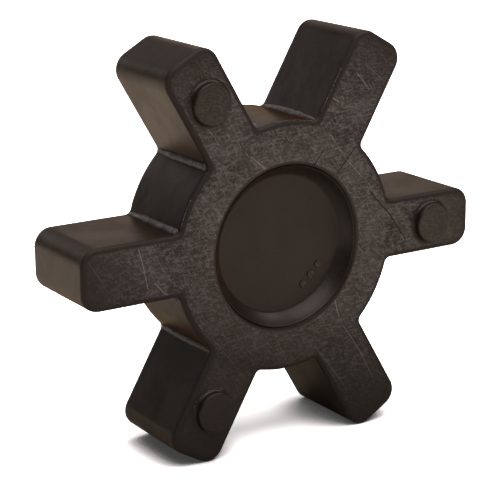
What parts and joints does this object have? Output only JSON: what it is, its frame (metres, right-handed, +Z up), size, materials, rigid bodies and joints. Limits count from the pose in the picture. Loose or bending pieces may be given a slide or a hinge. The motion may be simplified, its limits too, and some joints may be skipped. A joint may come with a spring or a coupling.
{
  "type": "jaw coupling spider",
  "caption": "Star-shaped rubber spider that sits between the jaws of two coupling hubs, with a recessed centre and stand-off buttons on alternate legs.",
  "frame": {"origin": "on the coupling's axis, halfway through the thickness", "axes": "Y along the coupling's axis with the front face towards -Y, Z up, X along two opposite legs; the spider stands on its two lower legs"},
  "size_m": [0.0952, 0.0246, 0.0862],
  "materials": {
    "nitrile_rubber": "satin moulded flanks, scuffed and finely scratched faces"
  },
  "bodies": {
    "root": {"spider": "nitrile_rubber"}
  },
  "joints": []
}
